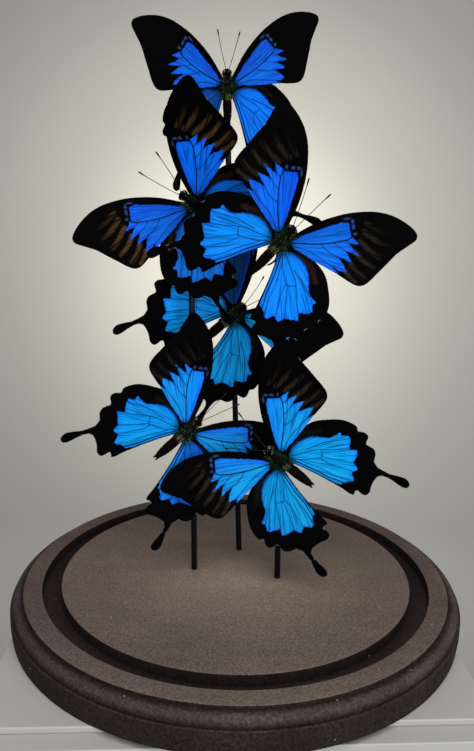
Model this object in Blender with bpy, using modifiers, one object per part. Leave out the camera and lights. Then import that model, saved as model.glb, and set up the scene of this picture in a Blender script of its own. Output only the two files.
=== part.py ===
"""Six blue swallowtail butterflies on three rods in a turned display base.

Blender 4.5, metres, +Z up. The origin is the centre of the base's underside,
and the butterflies show their upper sides towards -Y.
"""

import math

import bmesh
import bpy
from mathutils import Matrix, Vector

MM = 0.001
GAP = 0.35  # clearance kept between neighbouring pieces, mm

# The turned base, mm
BASE_HEIGHT = 19.0
DISC_RADIUS = 98.5
GROOVE_RADIUS = 108.6
GROOVE_DEPTH = 6.0
LAND_RADIUS = 118.5
STEP_DEPTH = 1.7
BEAD_WIDTH = 5.9
BEAD_DROP = 4.4
BEAD_FACETS = 4
QUIRK_RADIUS = 123.9
BAND_TOP = 12.2
BASE_RADIUS = 125.3
BAND_WAIST = 6.0
FOOT_RADIUS = 124.6
BASE_STEPS = 64

# The rods, mm. A foot is where a rod's axis meets the top of the disc, and a
# lean is how far that axis moves sideways for each unit of height.
ROD_RADIUS = 1.65
ROD_SIDES = 12
SOCKET_DEPTH = 9.0
RODS = {
    "rod_left": {"foot": (-24.2, -1.7), "lean": (-0.016, -0.004), "top": 206.0},
    "rod_back": {"foot": (1.7, 25.0), "lean": (-0.046, 0.012), "top": 270.0},
    "rod_right": {"foot": (23.7, -9.7), "lean": (-0.020, -0.050), "top": 188.0},
}

# One entry for each butterfly, mm and degrees. "at" is the centre of its
# thorax above the disc. "heading" swings its head to the right in the front
# view, "lean" tips its head towards the viewer and "turn" twists it about the
# vertical. "forward" moves its body, not its wings, towards its head. "raise"
# lifts its left and right wings towards its back, and a sweep turns a wing
# forwards from straight out. "feelers" has, for the left and the right antenna,
# the angle outwards at its root and at its tip and the full-size length.
BUTTERFLIES = {
    "butterfly_1": {
        "at": (-10.2, 21.0, 267.5), "heading": -6.2, "lean": 11.8, "turn": 21.7,
        "size": 0.875, "raise": (7.6, 7.1), "fore_sweep": (33.6, 38.4),
        "hind_sweep": (-57.4, -55.3), "forward": 0.0,
        "feelers": ((20, 16, 23.2), (18, 17, 22.4)),
    },
    "butterfly_2": {
        "at": (-23.7, -8.3, 204.5), "heading": -53.6, "lean": 18.3, "turn": 0.9,
        "size": 0.939, "raise": (19.1, 19.2), "fore_sweep": (42.5, 40.2),
        "hind_sweep": (-51.2, -57.3), "forward": 0.0,
        "feelers": ((9, 5.8, 25.6), (28, 23.2, 26.0)),
    },
    "butterfly_3": {
        "at": (18.0, -24.9, 186.4), "heading": 41.6, "lean": 9.4, "turn": 1.2,
        "size": 0.947, "raise": (14.0, 14.2), "fore_sweep": (49.2, 50.0),
        "hind_sweep": (-45.2, -51.2), "forward": 0.0,
        "feelers": ((24, 26.6, 25.9), (0, 1.6, 25.1)),
    },
    "butterfly_4": {
        "at": (-4.7, 20.8, 146.0), "heading": 50.4, "lean": 4.0, "turn": 20.1,
        "size": 1.012, "raise": (5.0, 4.6), "fore_sweep": (39.5, 43.6),
        "hind_sweep": (-56.8, -58.2), "forward": -2.5,
        "feelers": ((13, 19, 19.9), (12, 12, 20.0)),
    },
    "butterfly_5": {
        "at": (-29.7, -8.4, 83.5), "heading": 52.4, "lean": -0.7, "turn": 20.9,
        "size": 0.97, "raise": (9.4, 9.4), "fore_sweep": (41.9, 43.0),
        "hind_sweep": (-48.8, -53.7), "forward": 0.0,
        "feelers": ((8, 8, 22.0), (12.5, 14, 24.6)),
    },
    "butterfly_6": {
        "at": (23.3, -19.4, 72.1), "heading": -54.5, "lean": -0.3, "turn": -11.0,
        "size": 0.975, "raise": (8.1, 8.2), "fore_sweep": (41.6, 37.4),
        "hind_sweep": (-58.3, -59.7), "forward": 0.0,
        "feelers": ((33, 34, 22.0), (15.5, 17, 26.0)),
    },
}

# Wing outlines of a full-size right wing, mm: x runs out along the wing and y
# towards its front edge. Both start at the root and go round by the front.
FOREWING = [
    (0, 1.2), (6, 4.4), (13, 7.2), (19, 9), (25, 10.2), (30.5, 10.9), (36, 11.1), (44, 10.5),
    (48.5, 9.5), (53, 7.8), (57, 5.5), (61, 2.4), (64.2, -1), (65.6, -3.8), (64.8, -6.2),
    (61.6, -8.2), (55, -12), (50, -16.2), (45, -20.4), (40.2, -24.4), (37, -26), (33.8, -25.8),
    (30, -23.4), (24, -18.6), (16, -13), (8, -7.4), (1.5, -2.6),
]
HINDWING = [
    (0, 2.2), (-0.4, 9.6), (4.4, 18.4), (11, 24.6), (19, 27.4), (26, 28.5), (31, 27.7),
    (34.2, 26.2), (35.3, 24), (39, 23.6), (40.9, 21.8), (40.5, 17.6), (44.6, 15.4), (46, 12.8),
    (46, 8.6), (48.3, 5.6), (54.8, 3.2), (60, 2.7), (63.3, 2), (65.4, 0), (65.5, -2), (63.9, -3.2),
    (61, -2.5), (57.6, -0.7), (54, 0.8), (51, 1.2), (48.9, 0.2), (47.4, -2.4), (46.4, -6),
    (46, -9.6), (44, -11.7), (41.6, -11), (39.6, -9.8), (38.4, -10.6), (38.2, -12.6), (36.4, -12.6),
    (30, -9.6), (14, -4), (2, -0.8),
]
WING_THICKNESS = 0.5
FORE_ROOT = (2.6, 3.0, 1.1)  # in the butterfly's own frame: right, head, back
HIND_ROOT = (2.6, -2.0, 0.2)
WING_SPLAY = 1.5  # a forewing is raised this much more, a hindwing this much less

# The body's turned profile, mm: distance along the body from the middle of the
# thorax, head positive, and radius
BODY = [
    (12.0, 0.0), (11.2, 1.5), (9.6, 2.2), (7.8, 2.1), (5.4, 3.2), (1.5, 4.0), (-2.5, 3.8),
    (-5.2, 2.6), (-9.0, 2.75), (-14.0, 2.55), (-18.5, 1.9), (-21.6, 0.0),
]
BODY_STEPS = 10
EYE_RADIUS = 1.1
EYE_AT = (1.75, 9.6, 0.1)
EYE_FACETS = (6, 5)
FEELER_ROOT = (0.6, 10.4, 1.2)
FEELER_LIFT = 0.14  # how far an antenna rises for each unit of its length
FEELER_RADIUS = 0.24
CLUB_RADIUS = 0.5
FEELER_STEPS = (0, 0.3, 0.6, 0.84, 0.91, 1)  # its points, as shares of its length
CLUB_POINTS = 2  # how many of those points, from the tip, are the club's
LEG_RADIUS = 0.34
LEGS = {  # hip, knee and foot of a right leg, in the butterfly's own frame
    "front": ((2.4, 3.4, -1.2), (4.6, 5.8, -2.0), (4.0, 2.0, -2.7)),
    "middle": ((2.6, 0.4, -1.4), (5.0, -3.0, -2.2), (4.4, -8.0, -2.5)),
    "hind": ((2.4, -2.2, -1.2), (4.6, -7.0, -2.0), (3.8, -13.2, -2.2)),
}

MATERIALS = {  # colour, roughness
    "base": ((0.085, 0.070, 0.064), 0.85),
    "rod": ((0.006, 0.006, 0.007), 0.45),
    "forewing": ((0.010, 0.110, 0.550), 0.45),
    "hindwing": ((0.010, 0.130, 0.480), 0.45),
    "body": ((0.030, 0.022, 0.014), 0.80),
}


def clear_scene():
    for obj in list(bpy.data.objects):
        bpy.data.objects.remove(obj, do_unlink=True)


def new_collection(name, parent):
    collection = bpy.data.collections.new(name)
    parent.children.link(collection)
    return collection


def material(name, kind):
    colour, roughness = MATERIALS[kind]
    made = bpy.data.materials.new(name)
    made.use_nodes = True
    shader = made.node_tree.nodes["Principled BSDF"]
    shader.inputs["Base Color"].default_value = (*colour, 1)
    shader.inputs["Roughness"].default_value = roughness
    made.diffuse_color = (*colour, 1)
    return made


def add_object(name, mesh, collection, kind=None):
    obj = bpy.data.objects.new(name, mesh)
    collection.objects.link(obj)
    if kind:
        mesh.materials.append(material(name, kind))
    else:
        obj.hide_render = True
        obj.display_type = "WIRE"
    return obj


def turned(name, profile, steps, collection, kind=None):
    """A (radius, height) profile in mm, read from the top down, spun about Z."""
    mesh = bpy.data.meshes.new(name)
    points = [(radius * MM, 0, height * MM) for radius, height in profile]
    edges = [(i, i + 1) for i in range(len(points) - 1)]
    mesh.from_pydata(points, edges, [])
    obj = add_object(name, mesh, collection, kind)
    screw = obj.modifiers.new("Turned", "SCREW")
    screw.axis = "Z"
    screw.steps = screw.render_steps = steps
    screw.use_merge_vertices = True
    screw.merge_threshold = 0.00001
    screw.use_smooth_shade = True
    return obj


def mesh_of_curve(curve, name):
    """The curve's solid as a mesh with its caps welded on."""
    holder = bpy.data.objects.new(name, curve)
    bpy.context.scene.collection.objects.link(holder)
    graph = bpy.context.evaluated_depsgraph_get()
    mesh = bpy.data.meshes.new_from_object(holder.evaluated_get(graph))
    mesh.name = name
    bpy.data.objects.remove(holder, do_unlink=True)
    bpy.data.curves.remove(curve)
    solid = bmesh.new()
    solid.from_mesh(mesh)
    bmesh.ops.remove_doubles(solid, verts=solid.verts, dist=0.000001)
    bmesh.ops.recalc_face_normals(solid, faces=solid.faces)
    solid.to_mesh(mesh)
    solid.free()
    return mesh


def tube_mesh(name, points, radii):
    """A four-sided tapering tube through points in mm."""
    curve = bpy.data.curves.new(name, "CURVE")
    curve.dimensions = "3D"
    curve.bevel_depth = MM
    curve.bevel_resolution = 0
    curve.use_fill_caps = True
    spline = curve.splines.new("POLY")
    spline.points.add(len(points) - 1)
    for point, place, radius in zip(spline.points, points, radii):
        point.co = (*(Vector(place) * MM), 1)
        point.radius = radius
    return mesh_of_curve(curve, name)


def plate_mesh(name, outline, thickness):
    """A flat plate of an outline in mm, centred on its own plane."""
    curve = bpy.data.curves.new(name, "CURVE")
    curve.dimensions = "2D"
    curve.fill_mode = "BOTH"
    curve.extrude = thickness / 2 * MM
    spline = curve.splines.new("POLY")
    spline.points.add(len(outline) - 1)
    spline.use_cyclic_u = True
    for point, (x, y) in zip(spline.points, outline):
        point.co = (x * MM, y * MM, 0, 1)
    return mesh_of_curve(curve, name)


def cut(obj, cutter, operation="DIFFERENCE"):
    boolean = obj.modifiers.new(operation.title(), "BOOLEAN")
    boolean.operation = operation
    boolean.solver = "EXACT"
    if isinstance(cutter, bpy.types.Collection):
        boolean.operand_type = "COLLECTION"
        boolean.collection = cutter
    else:
        boolean.object = cutter


def base_profile():
    """The base's outline from the middle of its top, round its edge, to its underside."""
    floor = BASE_HEIGHT - GROOVE_DEPTH
    bead_top = BASE_HEIGHT - STEP_DEPTH
    profile = [
        (0, BASE_HEIGHT), (DISC_RADIUS, BASE_HEIGHT), (DISC_RADIUS, floor),
        (GROOVE_RADIUS, floor), (GROOVE_RADIUS, BASE_HEIGHT), (LAND_RADIUS, BASE_HEIGHT),
    ]
    for i in range(BEAD_FACETS + 1):
        angle = math.pi / 2 * i / BEAD_FACETS
        profile.append((
            LAND_RADIUS + BEAD_WIDTH * math.sin(angle),
            bead_top - BEAD_DROP * (1 - math.cos(angle)),
        ))
    profile += [
        (QUIRK_RADIUS, BAND_TOP), (BASE_RADIUS, BAND_TOP), (BASE_RADIUS, BAND_WAIST),
        (FOOT_RADIUS, 0), (0, 0),
    ]
    return profile


def rod_point(rod, height):
    """Where a rod's axis is at a height above the disc."""
    return Vector((
        rod["foot"][0] + rod["lean"][0] * height,
        rod["foot"][1] + rod["lean"][1] * height,
        BASE_HEIGHT + height,
    ))


def rod_cylinder(name, rod, bottom, top, radius, collection, kind=None):
    """A round bar along a rod's axis between two heights above the disc."""
    start, end = rod_point(rod, bottom), rod_point(rod, top)
    solid = bmesh.new()
    bmesh.ops.create_cone(
        solid, cap_ends=True, segments=ROD_SIDES, radius1=radius * MM, radius2=radius * MM,
        depth=(end - start).length * MM,
    )
    mesh = bpy.data.meshes.new(name)
    solid.to_mesh(mesh)
    solid.free()
    mesh.shade_smooth()
    mesh.set_sharp_from_angle(angle=math.radians(40))
    obj = add_object(name, mesh, collection, kind)
    obj.location = (start + end) / 2 * MM
    obj.rotation_mode = "QUATERNION"
    obj.rotation_quaternion = (end - start).to_track_quat("Z", "Y")
    return obj


def build_base(parts, cutters):
    base = turned("base", base_profile(), BASE_STEPS, parts, "base")
    for name, rod in RODS.items():
        socket = rod_cylinder(
            name + "_socket", rod, -SOCKET_DEPTH, SOCKET_DEPTH, ROD_RADIUS + GAP, cutters
        )
        cut(base, socket)


def build_rods(parts):
    for name, rod in RODS.items():
        rod_cylinder(name, rod, GAP - SOCKET_DEPTH, rod["top"], ROD_RADIUS, parts, "rod")


def frame_of(name, spec, collection):
    """An empty at the thorax: x to the butterfly's right, y to its head, z to its back."""
    frame = bpy.data.objects.new(name, None)
    collection.objects.link(frame)
    turn = Matrix.Rotation(math.radians(spec["turn"]), 4, "Z")
    lean = Matrix.Rotation(math.radians(spec["lean"]), 4, "X")
    heading = Matrix.Rotation(math.radians(spec["heading"]), 4, "Y")
    upright = Matrix.Rotation(math.radians(90), 4, "X")
    x, y, z = spec["at"]
    place = Matrix.Translation(Vector((x, y, z + BASE_HEIGHT)) * MM)
    frame.matrix_world = place @ turn @ lean @ heading @ upright
    return frame


def body_profile(size, grow=0.0):
    """The body's profile, head first, each point moved outwards by grow."""
    last = len(BODY) - 1
    profile = []
    for i, (along, radius) in enumerate(BODY):
        end = {0: grow, last: -grow}.get(i, 0)
        profile.append((radius * size + (grow if radius else 0), along * size + end))
    return profile


def body_shift(spec):
    return Matrix.Translation(Vector((0, spec["forward"], 0)) * MM)


def turned_body(name, spec, grow, frame, collection, kind=None):
    body = turned(name, body_profile(spec["size"], grow), BODY_STEPS, collection, kind)
    body.parent = frame
    body.matrix_local = body_shift(spec) @ Matrix.Rotation(math.radians(-90), 4, "X")
    return body


def mirrored(point, side):
    return Vector((point[0] * side, point[1], point[2]))


def feeler_points(size, spread, side):
    """An antenna whose direction from its root turns from one angle to the other."""
    start_angle, end_angle, length = spread
    points = []
    for share in FEELER_STEPS:
        angle = math.radians(start_angle + (end_angle - start_angle) * share)
        reach = length * size * share
        points.append(mirrored(FEELER_ROOT, side) * size + Vector((
            side * reach * math.sin(angle), reach * math.cos(angle), FEELER_LIFT * reach,
        )))
    return points


def build_appendages(name, spec, frame, cutters):
    """Eyes, antennae and legs, in a collection that is joined to the body."""
    size = spec["size"]
    group = new_collection(name + "_appendages", cutters)
    made = []
    for word, side, spread in (("left", -1, spec["feelers"][0]), ("right", 1, spec["feelers"][1])):
        solid = bmesh.new()
        bmesh.ops.create_uvsphere(
            solid, u_segments=EYE_FACETS[0], v_segments=EYE_FACETS[1], radius=EYE_RADIUS * size * MM,
            matrix=Matrix.Translation(mirrored(EYE_AT, side) * size * MM),
        )
        eye = bpy.data.meshes.new(f"{name}_eye_{word}")
        solid.to_mesh(eye)
        solid.free()
        made.append(eye)
        thin = len(FEELER_STEPS) - CLUB_POINTS
        radii = [FEELER_RADIUS] * thin + [CLUB_RADIUS] * CLUB_POINTS
        made.append(tube_mesh(f"{name}_feeler_{word}", feeler_points(size, spread, side), radii))
        for leg, joints in LEGS.items():
            points = [mirrored(joint, side) * size for joint in joints]
            made.append(tube_mesh(f"{name}_{leg}_leg_{word}", points, [LEG_RADIUS] * 3))
    for mesh in made:
        appendage = add_object(mesh.name, mesh, group)
        appendage.parent = frame
        appendage.matrix_local = body_shift(spec)
    return group


def wing_frame(root, size, sweep, raised, side):
    """Turns the wing's plane forwards by its sweep and lifts it towards the back."""
    return (
        Matrix.Translation(mirrored(root, side) * size * MM)
        @ Matrix.Rotation(-side * math.radians(raised), 4, "Y")
        @ Matrix.Rotation(side * math.radians(sweep), 4, "Z")
    )


def build_butterfly(name, spec, parts, cutters):
    size = spec["size"]
    frame = frame_of(name, spec, parts)
    body = turned_body(name + "_body", spec, 0.0, frame, parts, "body")
    cut(body, build_appendages(name, spec, frame, cutters), "UNION")
    room = turned_body(name + "_body_room", spec, GAP, frame, cutters)
    kinds = (
        ("forewing", FOREWING, FORE_ROOT, "fore_sweep", WING_SPLAY),
        ("hindwing", HINDWING, HIND_ROOT, "hind_sweep", -WING_SPLAY),
    )
    for kind, outline, root, sweep, splay in kinds:
        for index, (word, side) in enumerate((("left", -1), ("right", 1))):
            wing_name = f"{name}_{kind}_{word}"
            corners = [(x * size * side, y * size) for x, y in outline]
            mesh = plate_mesh(wing_name, corners, WING_THICKNESS)
            wing = add_object(wing_name, mesh, parts, kind)
            wing.parent = frame
            wing.matrix_local = wing_frame(
                root, size, spec[sweep][index], spec["raise"][index] + splay, side
            )
            cut(wing, room)


def main():
    clear_scene()
    scene = bpy.context.scene
    parts = new_collection("mounted_butterflies", scene.collection)
    cutters = new_collection("cutters", scene.collection)
    build_base(parts, cutters)
    build_rods(parts)
    for name, spec in BUTTERFLIES.items():
        build_butterfly(name, spec, parts, cutters)


main()
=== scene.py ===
import math
import random

import bmesh
import bpy
import numpy as np
from mathutils import Matrix, Vector, noise


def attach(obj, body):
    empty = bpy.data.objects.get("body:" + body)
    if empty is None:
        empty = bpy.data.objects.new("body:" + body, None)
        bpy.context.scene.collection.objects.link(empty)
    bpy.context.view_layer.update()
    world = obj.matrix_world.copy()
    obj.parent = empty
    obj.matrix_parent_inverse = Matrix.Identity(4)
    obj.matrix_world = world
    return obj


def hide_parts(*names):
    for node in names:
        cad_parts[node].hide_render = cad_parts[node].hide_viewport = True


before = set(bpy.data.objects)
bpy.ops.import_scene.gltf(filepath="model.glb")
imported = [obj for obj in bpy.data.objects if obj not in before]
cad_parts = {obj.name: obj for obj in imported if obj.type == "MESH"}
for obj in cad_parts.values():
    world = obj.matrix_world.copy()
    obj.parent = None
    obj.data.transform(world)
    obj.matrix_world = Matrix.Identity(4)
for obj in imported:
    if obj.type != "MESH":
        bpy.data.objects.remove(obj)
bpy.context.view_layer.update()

mm = 0.001  # pieces are modelled in millimetres and scaled when they are finished
scene = bpy.context.scene


# sRGB hex to the linear colour that the sockets take
def linear(hexCode):
    channels = [int(hexCode[i:i + 2], 16) / 255 for i in (0, 2, 4)]
    return [c / 12.92 if c <= 0.04045 else ((c + 0.055) / 1.055) ** 2.4 for c in channels] + [1]


# gives a node its inputs, and links those that are sockets
def setInputs(tree, node, inputs):
    for key, value in inputs.items():
        if isinstance(value, bpy.types.NodeSocket):
            tree.links.new(value, node.inputs[key])
        else:
            node.inputs[key].default_value = value


# adds a node with its inputs and its settings
def addNode(tree, kind, inputs, **settings):
    node = tree.nodes.new(kind)
    for key, value in settings.items():
        setattr(node, key, value)
    setInputs(tree, node, inputs)
    return node


def newMaterial(name, specular, roughness):
    material = bpy.data.materials.new(name)
    material.use_nodes = True
    tree = material.node_tree
    shader = tree.nodes["Principled BSDF"]
    setInputs(tree, shader, {"Specular IOR Level": specular, "Roughness": roughness})
    return material, tree, shader


# a rounded line through the points, with a corner kept where it turns by more than the given angle
def smoothLine(points, closed=False, step=0.6, corner=70):
    points = np.array(points, float)
    chords = np.roll(points, -1, axis=0) - points
    lengths = np.linalg.norm(chords, axis=1)
    units = chords / lengths[:, None]

    def slope(at, chord):
        if not closed and at in (0, len(points) - 1):
            return units[chord]
        if units[at - 1] @ units[at] < math.cos(math.radians(corner)):
            return units[chord]
        return (chords[at - 1] + chords[at]) / (lengths[at - 1] + lengths[at])

    line = []
    for i in range(len(points) if closed else len(points) - 1):
        after = (i + 1) % len(points)
        leave, arrive = slope(i, i) * lengths[i], slope(after, i) * lengths[i]
        count = max(1, round(lengths[i] / step))
        for s in np.arange(count) / count:
            line.append((2 * s**3 - 3 * s**2 + 1) * points[i] + (s**3 - 2 * s**2 + s) * leave
                        + (3 * s**2 - 2 * s**3) * points[after] + (s**3 - s**2) * arrive)
    return np.array(line if closed else line + [points[-1]])


# the nearest place on a line for each place
def nearestOn(line, places):
    best = np.full(len(places), 1e9)
    found = np.zeros_like(places)
    for start, run in zip(line[:-1], np.diff(line, axis=0)):
        share = np.clip(((places - start) @ run) / (run @ run), 0, 1)
        foot = start + share[:, None] * run
        gap = np.linalg.norm(places - foot, axis=1)
        closer = gap < best
        best[closer] = gap[closer]
        found[closer] = foot[closer]
    return found, best


# how deep each place lies inside a closed outline, negative outside
def depthIn(outline, places):
    ring = np.vstack([outline, outline[:1]])
    inside = np.zeros(len(places), bool)
    x, y = places.T
    for (ax, ay), (bx, by) in zip(ring[:-1], ring[1:]):
        if ay != by:
            inside ^= ((ay > y) != (by > y)) & (x < (bx - ax) * (y - ay) / (by - ay) + ax)
    return np.where(inside, 1, -1) * nearestOn(ring, places)[1]


# how deep each place lies inside the nearest of some oval spots (x, y, half length, half height)
def spotDepth(spots, places):
    depth = np.full(len(places), -9.0)
    for x, y, wide, high in spots:
        reach = np.hypot((places[:, 0] - x) / wide, (places[:, 1] - y) / high)
        depth = np.maximum(depth, (1 - reach) * min(wide, high))
    return depth


# round tubes along lines of points, each with a radius for every point, in one bmesh
def tubes(lines):
    curve = bpy.data.curves.new("tubes", "CURVE")
    curve.dimensions = "3D"
    curve.bevel_depth = 1
    curve.bevel_resolution = 1
    curve.use_fill_caps = True
    for points, radii in lines:
        spline = curve.splines.new("POLY")
        spline.points.add(len(points) - 1)
        for point, place, radius in zip(spline.points, points, radii):
            point.co = (*place, 1)
            point.radius = radius
    holder = bpy.data.objects.new("tubes", curve)
    scene.collection.objects.link(holder)
    depsgraph = bpy.context.evaluated_depsgraph_get()
    mesh = bpy.data.meshes.new_from_object(holder.evaluated_get(depsgraph))
    bm = bmesh.new()
    bm.from_mesh(mesh)
    bmesh.ops.remove_doubles(bm, verts=bm.verts, dist=0.0001)
    bmesh.ops.recalc_face_normals(bm, faces=bm.faces)
    bpy.data.objects.remove(holder)
    bpy.data.curves.remove(curve)
    bpy.data.meshes.remove(mesh)
    return bm


# a (radius, height) profile spun about Z
def spun(profile, steps):
    bm = bmesh.new()
    verts = [bm.verts.new((radius, 0, height)) for radius, height in profile]
    edges = [bm.edges.new(pair) for pair in zip(verts, verts[1:])]
    bmesh.ops.spin(bm, geom=verts + edges, cent=(0, 0, 0), axis=(0, 0, 1), angle=math.tau,
                   steps=steps, use_merge=True)
    bmesh.ops.remove_doubles(bm, verts=bm.verts, dist=0.001)
    bmesh.ops.recalc_face_normals(bm, faces=bm.faces)
    return bm


# joins a second bmesh to the first, with its faces in one material slot
def absorb(bm, other, slot=0):
    for face in other.faces:
        face.material_index = slot
    mesh = bpy.data.meshes.new("joined")
    other.to_mesh(mesh)
    other.free()
    bm.from_mesh(mesh)
    bpy.data.meshes.remove(mesh)


# links a finished mesh in metres as the piece that stands for a CAD node
def addPiece(name, mesh, node, materials, sharp=40):
    for material in materials:
        mesh.materials.append(material)
    mesh.shade_smooth()
    mesh.set_sharp_from_angle(angle=math.radians(sharp))
    piece = bpy.data.objects.new(name, mesh)
    scene.collection.objects.link(piece)
    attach(piece, "root")
    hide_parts(node)
    return piece


def meshFrom(name, bm, place=Matrix()):
    bmesh.ops.transform(bm, matrix=Matrix.Scale(mm, 4) @ place, verts=bm.verts)
    mesh = bpy.data.meshes.new(name)
    bm.to_mesh(mesh)
    bm.free()
    return mesh


# the camera's place in mm, how far it looks down, turns and rolls in degrees, and its lens
view = {"place": (-0.09, -357.92, 202.15), "down": 10.838, "turn": 0.245, "roll": 1.167, "lens": 31.64}

camera = bpy.data.objects.new("camera", bpy.data.cameras.new("camera"))
scene.collection.objects.link(camera)
scene.camera = camera
camera.data.lens = view["lens"]
camera.data.clip_start = 0.01
camera.matrix_world = (
    Matrix.Translation(Vector(view["place"]) * mm)
    @ Matrix.Rotation(math.radians(view["turn"]), 4, "Z")
    @ Matrix.Rotation(math.radians(90 - view["down"]), 4, "X")
    @ Matrix.Rotation(math.radians(view["roll"]), 4, "Z")
)
scene.view_settings.view_transform = "Standard"  # keeps the blue as strong as it is

studio = {  # the paper behind the base and the light of the room, in metres
    "wallAt": 1.15, "front": -2.2, "floor": -0.75, "bend": 0.3, "bendSteps": 16, "height": 2.0,
    "halfWidth": 2.6, "paper": "9e9d98", "world": "e2e4e6", "worldStrength": 0.52,
}
plinth = {  # a square board that the base overhangs a little, on a block that stands out in front, in mm
    "left": -119.2, "right": 111.8, "front": -105.0, "back": 62.0, "board": 3.2, "step": 10.0,
    "turn": 3.5, "arris": 0.5, "paint": "959491",
}
panels = {  # soft round lights above and beside the camera, in metres and watts
    "ceilingPanel": {"at": (0.05, -0.8, 1.35), "aim": (0, 0, 0.1), "watts": 21, "tint": "fffaf4"},
    "frontPanel": {"at": (0.38, -1.15, 0.2), "aim": (0, 0, 0.15), "watts": 14, "tint": "f8faff"},
}
glows = {  # two lamps above the view make the pale glow on the wall behind the butterflies
    "wallGlow": {"at": (-0.01, 0.2, 0.55), "cone": 90, "watts": 40},
    "wallHalo": {"at": (-0.01, 0.4, 0.55), "cone": 56, "watts": 33},
}


def addLamp(name, kind, place, aim, watts, tint, **settings):
    light = bpy.data.lights.new(name, kind)
    light.energy = watts
    light.color = linear(tint)[:3]
    for key, value in settings.items():
        setattr(light, key, value)
    lamp = bpy.data.objects.new(name, light)
    scene.collection.objects.link(lamp)
    turned = (Vector(aim) - Vector(place)).to_track_quat("-Z", "Y").to_matrix().to_4x4()
    lamp.matrix_world = Matrix.Translation(place) @ turned


# a floor that bends up into the wall behind
def buildSweep():
    bm = bmesh.new()
    floor, bend, wallAt, steps = (studio[key] for key in ("floor", "bend", "wallAt", "bendSteps"))
    profile = [(studio["front"], floor), (wallAt - bend, floor)]
    for i in range(1, steps + 1):
        angle = math.pi / 2 * i / steps
        profile.append((wallAt - bend * (1 - math.sin(angle)), floor + bend * (1 - math.cos(angle))))
    profile.append((wallAt, studio["height"]))
    verts = [bm.verts.new((-studio["halfWidth"], y, z)) for y, z in profile]
    edges = [bm.edges.new(pair) for pair in zip(verts, verts[1:])]
    wide = bmesh.ops.extrude_edge_only(bm, edges=edges)["geom"]
    bmesh.ops.translate(bm, vec=(2 * studio["halfWidth"], 0, 0),
                        verts=[v for v in wide if isinstance(v, bmesh.types.BMVert)])
    mesh = bpy.data.meshes.new("paperSweep")
    bm.to_mesh(mesh)
    bm.free()
    mesh.shade_smooth()
    # seamless background paper: matte, without a visible grain at this distance
    material, tree, shader = newMaterial("background paper", 0.1, 0.9)
    setInputs(tree, shader, {"Base Color": linear(studio["paper"])})
    mesh.materials.append(material)
    sweep = bpy.data.objects.new("paperSweep", mesh)
    scene.collection.objects.link(sweep)


def buildPlinth():
    bm = bmesh.new()
    left, right, front, back = (plinth[side] for side in ("left", "right", "front", "back"))
    under = -plinth["board"]
    for low, high, out in ((under, 0, 0), (studio["floor"] / mm, under, plinth["step"])):
        size = (right - left, back - front + out, high - low)
        middle = ((left + right) / 2, (front - out + back) / 2, (low + high) / 2)
        box = Matrix.Translation(middle) @ Matrix.Diagonal((*size, 1))
        made = bmesh.ops.create_cube(bm, size=1, matrix=box)
        edges = list({edge for vert in made["verts"] for edge in vert.link_edges})
        bmesh.ops.bevel(bm, geom=edges, offset=plinth["arris"], segments=2, profile=0.5, affect="EDGES",
                        material=-1)
    mesh = meshFrom("plinth", bm, Matrix.Rotation(math.radians(plinth["turn"]), 4, "Z"))
    # painted board, satin white
    material, tree, shader = newMaterial("plinth paint", 0.25, 0.5)
    setInputs(tree, shader, {"Base Color": linear(plinth["paint"])})
    mesh.materials.append(material)
    block = bpy.data.objects.new("plinth", mesh)
    scene.collection.objects.link(block)


def lightStage():
    world = bpy.data.worlds.new("softRoom")
    world.use_nodes = True
    setInputs(world.node_tree, world.node_tree.nodes["Background"],
              {"Color": linear(studio["world"]), "Strength": studio["worldStrength"]})
    scene.world = world
    for name, panel in panels.items():
        addLamp(name, "AREA", panel["at"], panel["aim"], panel["watts"], panel["tint"],
                shape="DISK", size=1.2)
    for name, glow in glows.items():
        aim = (glow["at"][0], studio["wallAt"], 0.1)
        addLamp(name, "SPOT", glow["at"], aim, glow["watts"], "fffdf2",
                spot_size=math.radians(glow["cone"]), spot_blend=1.0, shadow_soft_size=0.1)


buildSweep()
buildPlinth()
lightStage()
print("stage and lights ready")


# the turned base in mm, from its disc outwards, with the same sizes as its solid
base = {
    "height": 19.0, "disc": 98.5, "groove": 108.6, "grooveDepth": 6.0, "land": 118.5, "step": 1.7,
    "beadWidth": 5.9, "beadDrop": 4.4, "beadSteps": 12, "quirk": 123.9, "bandTop": 12.2, "radius": 125.3,
    "waist": 6.0, "foot": 124.6, "arris": 0.45, "spinSteps": 240, "socketGap": 0.2,
}
paintedLightLevels = {  # painted light and shade on each ring, from 0 in deep shade to 1 fully lit, and over how many mm that changes
    "discRim": 0.76, "discRun": 80, "land": 0.67, "landInFront": 0.09, "landRun": 110,
    "floorInFront": 0.4, "floorRun": 80, "bead": 0.46, "bandArris": 0.24, "band": 0.1,
}
rods = {  # foot on the disc, lean for each unit of height, height above the disc
    "rod_left": {"foot": (-24.2, -1.7), "lean": (-0.016, -0.004), "top": 206.0},
    "rod_back": {"foot": (1.7, 25.0), "lean": (-0.046, 0.012), "top": 270.0},
    "rod_right": {"foot": (23.7, -9.7), "lean": (-0.020, -0.050), "top": 188.0},
}
rod = {"radius": 1.65, "depth": 8.6, "sides": 32}


# a profile whose marked corners are eased by a small round
def easedProfile(corners):
    profile = []
    for i, (radius, height, ease) in enumerate(corners):
        here = Vector((radius, height))
        if not ease:
            profile.append(here)
            continue
        before, after = Vector(corners[i - 1][:2]), Vector(corners[i + 1][:2])
        start = here + (before - here).normalized() * ease
        end = here + (after - here).normalized() * ease
        for s in (0, 0.25, 0.5, 0.75, 1):
            profile.append(start * (1 - s) ** 2 + here * 2 * s * (1 - s) + end * s ** 2)
    return profile


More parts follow.
